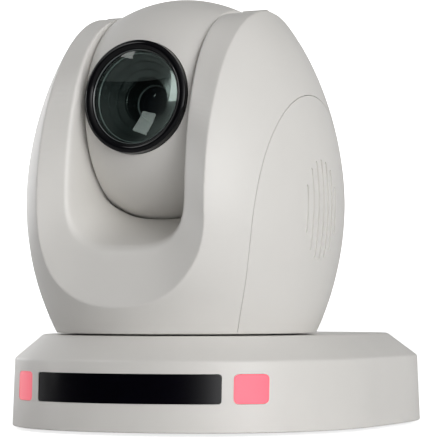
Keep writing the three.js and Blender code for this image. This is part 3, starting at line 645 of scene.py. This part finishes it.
def build_coaxial_connector():
    """A bayonet connector: a flange, a barrel with two lugs, white insulation and a pin."""
    spot = (ACROSS["coaxial"], 0, SOCKET_Z)
    body = turned_piece(
        [(0, -10), (6, -10), (6, 1), (5, 1.4), (4.8, 2.2), (4.8, 11.5), (4, 11.5), (4, 3), (0, 3)],
        [0, 0, 0.3, 0.2, 0, 0.3, 0.2, 0, 0], 3, 96,
    )
    lugs = moved(rod(0.9, -5.8, 5.8, "x", 32), y=PANEL_Y + 8)
    minus(lugs, rod(4.4, PANEL_Y, PANEL_Y + 12, "y"))
    joined(body, lugs)
    place(moved(body, *spot), "sdi_connector_fine", "base", ON_BASE, STEEL, "steel", ["sdi_connector"])
    pin = turned_piece([(0, 2), (1, 2), (1, 9), (0.4, 9.4), (0, 9.4)], [0, 0, 0.2, 0, 0], 3, 32)
    place(moved(pin, *spot), "sdi_pin", "base", ON_BASE, GOLD, "brass")
    insulation = turned_piece([(1.1, 3.1), (3.9, 3.1), (3.9, 5.5), (1.1, 5.5)], segments=64)
    place(moved(insulation, *spot), "sdi_insulation", "base", ON_BASE, WHITE_PLASTIC, "shell")


# ---------------------------------------------------------------- yoke
def egg_radius(z):
    """The egg's outline: one superellipse above its waist and another below."""
    above = z > EGG["waist"]
    share = np.abs(z - EGG["waist"]) / np.where(above, EGG["upper"], EGG["lower"])
    power = np.where(above, EGG["upper_power"], EGG["lower_power"])
    return EGG["radius"] * np.sqrt(np.maximum(0, 1 - share**power))


def egg_axes(z):
    """Half-width and half-depth of the egg at a height."""
    stretch = 1 + EGG["stretch"] * smooth((z - EGG["bottom"]) / 30)
    share = EGG["depth_share"]
    squeeze = np.sqrt((1 - share * stretch**2) / (1 - share))
    return egg_radius(z) * squeeze, egg_radius(z) * stretch


def egg_solid(inset, low, high, rings, count):
    """The yoke's egg between two heights, drawn in by an inset, with rings closer together near its top."""
    heights = low + (high - low) * (1 - (1 - np.linspace(0, 1, rings)) ** 1.25)
    t = np.linspace(0, 2 * math.pi, count, endpoint=False)
    rows = []
    for z in heights:
        a, b = (np.maximum(half - inset, 1) for half in egg_axes(z))
        rows.append(np.stack([a * np.cos(t), b * np.sin(t), np.full(count, z)], 1))
    return loft(rows)


def egg_depth(x, z):
    """How far in front of the pan axis the egg's surface lies."""
    a, b = egg_axes(z)
    return b * np.sqrt(np.maximum(0, 1 - (x / np.maximum(a, 1e-6)) ** 2))


def bend_depth(z):
    """How far in front of the pan axis the scoop bends towards the head."""
    share = np.maximum(0, z - BEND["centre"]) / BEND["height"]
    return BEND["depth"] * np.maximum(0, 1 - share ** BEND["power"]) ** (1 / BEND["power"])


def u_outline(spec, grow, side_points, arch_points):
    """A round-bottomed U in the front view: down the left side, round the bottom and up the right."""
    half_width, bottom, centre, power = spec
    w = half_width + grow
    upper = np.linspace(232, 162, side_points)
    lower = np.linspace(162, centre, side_points // 4 + 2)[1:]
    side = np.concatenate([upper, lower])
    t = np.linspace(math.pi, 2 * math.pi, arch_points)[1:-1]
    x = np.concatenate([np.full(len(side), -w), w * super_root(np.cos(t), power), np.full(len(side), w)])
    arch = centre + (centre - bottom + grow) * super_root(np.sin(t), power)
    return x, np.concatenate([side, arch, side[::-1]])


def scoop_cutter(scoop, facing, grow, side_points=90, arch_points=140, bend_steps=10):
    """What is cut out of the egg in front of the head (facing -1) or behind it (facing 1)."""
    past = -0.5
    outlines = {key: u_outline(scoop[key], grow, side_points, arch_points) for key in scoop}
    crease_x, crease_z = outlines["crease"]
    bend_x, bend_z = outlines["bend"]
    lip_x, lip_z = outlines["lip"]

    def row(x, depth, z):
        return np.stack([x, facing * depth, z], 1)

    on_egg = egg_depth(np.minimum(np.abs(crease_x), scoop["crease"][0]), crease_z)
    crease = row(crease_x, np.maximum(past, on_egg), crease_z)
    bend = row(bend_x, np.maximum(past, bend_depth(bend_z) - grow), bend_z)
    lip = row(lip_x, np.maximum(past, np.minimum(LIP_DEPTH, bend_depth(lip_z) - grow)), lip_z)
    rows = [row(crease_x, np.full(len(crease_x), 200.0), crease_z), crease]
    start = bend + (crease - bend) * BEND_ROUND["outside"]
    end = bend + (lip - bend) * BEND_ROUND["inside"]
    for t in np.linspace(0, 1, bend_steps + 1):
        rows.append(start * (1 - t) ** 2 + bend * 2 * t * (1 - t) + end * t * t)
    rows += [lip, row(lip_x, np.full(len(lip_x), past), lip_z)]
    return loft(rows)


def drum_profile(grow):
    """Half-section of the head's barrel-shaped drum, with small rounds where its crown meets its sides."""
    w = HEAD["half_width"] + grow
    r = HEAD["radius"] + grow
    crown = [(r - HEAD["fall"] * (x / w) ** 2, x) for x in np.linspace(0, w, 18)]
    edge = fillet([crown[-2], crown[-1], (0, w)], [0, 1.8, 0], 6)
    half = crown[:-2] + edge
    return [(radius, -x) for radius, x in half[::-1] if x > 0] + half


def drum(grow, segments=220):
    return lathe(drum_profile(grow), "x", segments)


def cover_outline(grow):
    """The arch of a side cover in the side view."""
    w = SIDE_COVER["half_width"] + grow
    t = np.linspace(-0.62, math.pi + 0.62, 150)
    height = np.where(np.sin(t) > 0, SIDE_COVER["upper"], SIDE_COVER["lower"]) + grow
    return np.stack([w * np.cos(t), SIDE_COVER["centre"] + height * np.sin(t)], 1)


def cover_slab(side, grow):
    """The space that a side cover takes up, pushed out through the egg."""
    start, end = sorted((side * SIDE_COVER["inner_x"], side * 95))
    return prism(cover_outline(grow), "x", start, end)


def vent_slots(side):
    """Upright round-ended slots whose lengths follow an ellipse, down to the dust screen behind them."""
    screen = egg_solid(VENT["depth"], EGG["bottom"], EGG["top"], 60, 160)
    half = (VENT["slots"] - 1) // 2
    slots = []
    for k in range(-half, half + 1):
        y = VENT["y"] + k * VENT["pitch"]
        h = VENT["half_height"] * math.sqrt(1 - (k * VENT["pitch"] / VENT["half_width"]) ** 2)
        w = VENT["width"] / 2
        outline = rounded_rectangle(y - w, y + w, VENT["z"] - h, VENT["z"] + h, w * 0.95, 5)
        start, end = sorted((side * 60, side * 90))
        slots.append(combine(prism(outline, "x", start, end), screen, "DIFFERENCE", keep_tool=True))
    bpy.data.objects.remove(screen)
    return slots


def yoke_hollow():
    """The inside of the yoke, a wall's thickness behind every outer surface but for the arms' solid tips."""
    hollow = egg_solid(WALL, EGG["bottom"] - 6, 214, 40, 96)
    for scoop, facing in ((FRONT_SCOOP, -1), (REAR_SCOOP, 1)):
        minus(hollow, scoop_cutter(scoop, facing, WALL, 24, 40, 2))
    minus(hollow, moved(drum(HEAD_GAP + WALL, 72), z=TILT_HEIGHT))
    return minus(hollow, block(-FAR, FAR, -TIP_HALF_DEPTH, TIP_HALF_DEPTH, SOLID_TIP_Z, ABOVE))


def build_yoke():
    body = egg_solid(0, EGG["bottom"], EGG["top"], 170, 300)
    for scoop, facing in ((FRONT_SCOOP, -1), (REAR_SCOOP, 1)):
        minus(body, scoop_cutter(scoop, facing, 0))
    minus(body, moved(drum(HEAD_GAP), z=TILT_HEIGHT))
    inner = FRONT_SCOOP["lip"][0] + ARM_TIP_CLEARANCE
    minus(body, block(-inner, inner, -TIP_HALF_DEPTH, TIP_HALF_DEPTH, ARM_TIP_Z, ABOVE))
    softened(body, SOFT_EDGES["voxel"], SOFT_EDGES["rounds"])
    minus(body, yoke_hollow(), moved(rod(TRUNNION_HOLE, -45, 45, "x"), z=TILT_HEIGHT))
    for side, name in ((-1, "side_cover_left"), (1, "side_cover_right")):
        cover = within(copied(body), cover_slab(side, -SEAM))
        minus(cover, *vent_slots(side))
        place(cover, name + "_fine", "yoke", ON_YOKE, SHELL, "shell", [name])
    minus(body, cover_slab(-1, SEAM), cover_slab(1, SEAM))
    rear = within(copied(body), block(-FAR, FAR, SPLIT_Y + SEAM, FAR, 0, ABOVE))
    place(rear, "yoke_rear_fine", "yoke", ON_YOKE, SHELL, "shell", ["yoke_rear_shell"])
    within(body, block(-FAR, FAR, -FAR, SPLIT_Y - SEAM, 0, ABOVE))
    place(body, "yoke_front_fine", "yoke", ON_YOKE, SHELL, "shell", ["yoke_front_shell"])


# ---------------------------------------------------------------- head
def build_head():
    skin = minus(drum(0), lathe(drum_profile(-HEAD["wall"]), "x", 96))
    minus(skin, rod(LENS["bezel"] + CLEARANCE, -70, -20, "y", 160), rod(8, -40, 40, "x"))
    split = HEAD["split_y"]
    rear = within(copied(skin), block(-70, 70, split + SEAM, 70, -70, 70))
    place(rear, "head_rear_fine", "head", IN_HEAD, SHELL, "shell", ["head_rear_shell"])
    within(skin, block(-70, 70, -70, split - SEAM, -70, 70))
    place(skin, "head_front_fine", "head", IN_HEAD, SHELL, "shell", ["head_front_shell"])
    build_lens()


def build_lens():
    """Bezel, front glass with two thin rings, barrel and the two sliding cells."""
    f = LENS["front"]
    g = LENS["glass"]
    radii = np.linspace(LENS["bezel"], g + 0.3, 16)
    face = [(r, f + DISH["curve"] * (r - DISH["radius"]) ** 2) for r in radii]
    ring = [(24, f + 12), (LENS["bezel"], f + 12)] + face + [(g + 0.3, f + 4), (24, f + 4)]
    bezel = lathe(ring, "y", 200)
    place(bezel, "lens_bezel_fine", "head", IN_HEAD, BEZEL, "black", ["lens_bezel"], crease=50)
    front = [(g * t, f + 0.9 + 1.3 * t * t) for t in np.linspace(0, 1, 16)]
    back = [(g * t, f + 3.8 + 5 * (1 - t * t)) for t in np.linspace(1, 0, 16)]
    glass = lathe(front + back, "y", 160)
    place(glass, "front_lens_fine", "head", IN_HEAD, FRONT_GLASS, "glass", ["front_lens"])
    # The rings' lighter grey is partly a painted highlight of their edges.
    rings = (("glass_rim", g + 0.05, 0.35, f + 1.5), ("retaining_ring", 21.3, 0.45, f + 4.55))
    for name, radius, width, at in rings:
        section = [(radius - width, at + 0.3), (radius, at), (radius, at + 0.5), (radius - width, at + 0.5)]
        place(lathe(section, "y", 160), name, "head", IN_HEAD, GLINT_RIM, "black")
    build_barrel(f)
    build_cell("zoom", LENS["zoom"], 5, 9.6, LENS["iris"])
    build_cell("focus", LENS["focus"], 3, 9, 7.5)


def build_barrel(f):
    """The black barrel: a stepped light baffle that narrows behind the front glass, and a plain tube."""
    mouth = [(LENS["barrel"], -9), (LENS["barrel"], f + 4.5), (21.35, f + 4.5), (21.35, f + 6.6)]
    baffle = []
    mouth_radius, count = BAFFLE["mouth"], BAFFLE["steps"]
    for k in range(count):
        outer = mouth_radius + (LENS["baffle"] - mouth_radius) * k / count
        inner = mouth_radius + (LENS["baffle"] - mouth_radius) * (k + BAFFLE["tread"]) / count
        along = f + BAFFLE["start"] + BAFFLE["depth"] * k / count
        baffle += [(outer, along), (inner, along + BAFFLE["rise"])]
    tip = [(LENS["baffle"] + 0.3, f + 13), (LENS["baffle"], f + 13.3), (LENS["baffle"], f + 13.8)]
    bore = LENS["bore"]
    barrel = lathe(mouth + baffle + tip + [(bore, f + 9), (bore, -11), (9, -11), (9, -9)], "y", 160)
    place(barrel, "lens_barrel_fine", "head", IN_HEAD, BARREL, "black", ["lens_barrel"])


def build_cell(group, start, length, bore, iris):
    """A sliding cell with a thin lip round its dark coated lens; the lip's lighter grey is a painted highlight."""
    outer = LENS["cell"]
    end = start + length
    profile = [
        (iris, start + 0.6), (iris + 0.45, start), (bore + 1.6, start + 0.3), (bore + 2.2, start + 1),
        (outer, start + 1), (outer, end), (bore, end), (bore, start + 1.1), (iris, start + 1.1),
    ]
    cell = lathe(profile, "y", 128)
    for x in (-GUIDE["x"], GUIDE["x"]):
        minus(cell, moved(rod(GUIDE["bore"], start - 1, end + 1, "y", 32), x))
    place(cell, f"{group}_cell_fine", f"{group}_group", IN_HEAD, BARREL, "black", [f"{group}_cell"])
    # The lip's lighter grey is a painted highlight.
    lip = [
        (iris, start + 0.5), (iris + 0.4, start - 0.05), (iris + 0.55, start - 0.05),
        (iris + 0.55, start + 0.5),
    ]
    place(lathe(lip, "y", 128), f"{group}_lip", f"{group}_group", IN_HEAD, GLINT_RIM, "black")
    radius = bore - 0.3
    front = [(radius * t, start + 1.2 + 1.3 * t * t) for t in np.linspace(0, 1, 12)]
    rear = [(radius * t, start + 4.2 - 1.2 * t * t) for t in np.linspace(1, 0, 12)]
    lens = lathe(front + rear, "y", 96)
    place(lens, f"{group}_lens_fine", f"{group}_group", IN_HEAD, INNER_GLASS, "glass", [f"{group}_lens"])


# ---------------------------------------------------------------- carried-over nodes
CARRIED = {
    "aluminium": ALUMINIUM, "steel": STEEL, "brass": BRASS, "board": BOARD, "rubber": RUBBER,
    "black": BLACK_PLASTIC, "shell": SHELL, "window": WINDOW_GLOSS, "tally": TALLY_PINK, "glass": FRONT_GLASS,
}


def paint_carried_nodes():
    """Gives each node of the frame the material of its slot."""
    slots = {part["node"]: part["material_slot"] for part in frame["record"]["subparts"]}
    for name, node in frame["nodes"].items():
        node.data.materials.clear()
        node.data.materials.append(CARRIED[slots[name]])


# ---------------------------------------------------------------- camera, floor and light
# Degrees round from the front, metres from the pan axis and above the table, and the lens in millimetres.
VIEW = {
    "azimuth": 24.5, "distance": 1.253, "eye": 0.064, "aim_right": 0.0154, "aim_height": 0.1009,
    "lens": 214.2, "sensor": 36,
}

# Lobes of soft light from far away: azimuth right of the camera, elevation, tightness, strength.
SOFT_LIGHT = [
    (30, 5, 16, 7.3), (-150, 5, 16, 2.0), (-125, 20, 9, 1.3), (120, 5, 16, 0.6), (150, 5, 16, 0.4),
    (180, 5, 16, 0.5), (-135, 42, 9, 0.4), (0, 42, 9, 0.35), (45, 42, 9, 0.8),
]

# Softboxes that only make highlights: name, azimuth right of the camera, elevation, width, height, watts.
SOFTBOXES = [("left_strip", -95, 7, 0.2, 0.4, 2.0), ("upper_left_softbox", -70, 35, 0.35, 0.35, 1.8)]
SOFTBOX_DISTANCE = 1.2
FLOOR_GLOW = 0.8  # makes the floor as bright as the background, for the camera only


def add_camera():
    azimuth = math.radians(VIEW["azimuth"])
    away = Vector((math.sin(azimuth), -math.cos(azimuth), 0))
    right = Vector((math.cos(azimuth), math.sin(azimuth), 0))
    axis = Vector((0, PAN_Y, 0))
    camera = bpy.data.objects.new("camera", bpy.data.cameras.new("camera"))
    camera.data.lens = VIEW["lens"]
    camera.data.sensor_width = VIEW["sensor"]
    camera.data.clip_start = 0.01
    camera.location = axis + away * VIEW["distance"] + Vector((0, 0, VIEW["eye"]))
    target = axis + right * VIEW["aim_right"] + Vector((0, 0, VIEW["aim_height"]))
    camera.rotation_euler = (target - camera.location).to_track_quat("-Z", "Y").to_euler()
    bpy.context.scene.collection.objects.link(camera)
    bpy.context.scene.camera = camera


def add_softbox(name, azimuth, elevation, width, height, power):
    """A rectangular light aimed at the middle of the object, seen only in highlights."""
    light = bpy.data.lights.new(name, "AREA")
    light.shape = "RECTANGLE"
    light.size = width
    light.size_y = height
    light.energy = power
    softbox = bpy.data.objects.new(name, light)
    middle = Vector((0, PAN_Y, 0.12))
    direction = towards(azimuth, elevation)
    softbox.location = middle + direction * SOFTBOX_DISTANCE
    softbox.rotation_euler = (-direction).to_track_quat("-Z", "Y").to_euler()
    softbox.visible_diffuse = False
    bpy.context.scene.collection.objects.link(softbox)


def towards(azimuth, elevation):
    """A direction from the object, its azimuth measured from the camera's towards the camera's right."""
    a = math.radians(VIEW["azimuth"] + azimuth)
    e = math.radians(elevation)
    return Vector((math.sin(a) * math.cos(e), -math.cos(a) * math.cos(e), math.sin(e)))


def add_math(nodes, links, operation, first, second=None, third=None):
    """A math node; each input is a number or another node's output."""
    node = nodes.new("ShaderNodeMath")
    node.operation = operation
    for socket, value in zip(node.inputs, (first, second, third)):
        if isinstance(value, (int, float)):
            socket.default_value = value
        elif value is not None:
            links.new(value, socket)
    return node.outputs["Value"]


def add_world(scene):
    """Lobes of soft light, seen by everything but the camera, which sees plain white."""
    world = bpy.data.worlds.new("studio")
    world.use_nodes = True
    nodes = world.node_tree.nodes
    links = world.node_tree.links
    coordinates = nodes.new("ShaderNodeTexCoord")
    total = nodes.new("ShaderNodeLightPath").outputs["Is Camera Ray"]
    for azimuth, elevation, tightness, strength in SOFT_LIGHT:
        toward = nodes.new("ShaderNodeVectorMath")
        toward.operation = "DOT_PRODUCT"
        toward.inputs[1].default_value = towards(azimuth, elevation)
        links.new(coordinates.outputs["Generated"], toward.inputs[0])
        power = add_math(nodes, links, "MULTIPLY_ADD", toward.outputs["Value"], tightness, -tightness)
        lobe = add_math(nodes, links, "EXPONENT", power)
        total = add_math(nodes, links, "MULTIPLY_ADD", lobe, strength, total)
    links.new(total, nodes["Background"].inputs["Strength"])
    nodes["Background"].inputs["Color"].default_value = (1, 1, 1, 1)
    scene.world = world


def floor_material():
    """White paper; the camera sees it as bright as the background, but for its shadows."""
    material = plastic("floor_white", (0.85, 0.85, 0.85), 0.6, grain=200, bump=0.02, variation=0.005)
    nodes = material.node_tree.nodes
    links = material.node_tree.links
    shader = nodes["Principled BSDF"]
    shader.inputs["Emission Color"].default_value = (1, 1, 1, 1)
    seen = nodes.new("ShaderNodeLightPath").outputs["Is Camera Ray"]
    links.new(add_math(nodes, links, "MULTIPLY", seen, FLOOR_GLOW), shader.inputs["Emission Strength"])
    return material


def add_studio():
    scene = bpy.context.scene
    scene.view_settings.view_transform = "Standard"
    add_world(scene)
    floor_mesh = bpy.data.meshes.new("floor")
    corners = [(-6, -6, 0), (6, -6, 0), (6, 6, 0), (-6, 6, 0)]
    floor_mesh.from_pydata(corners, [], [(0, 1, 2, 3)])
    floor = make_object("floor", floor_mesh)
    floor.data.materials.append(floor_material())
    for softbox in SOFTBOXES:
        add_softbox(*softbox)


add_camera()
paint_carried_nodes()
build_base()
build_yoke()
build_head()
add_studio()
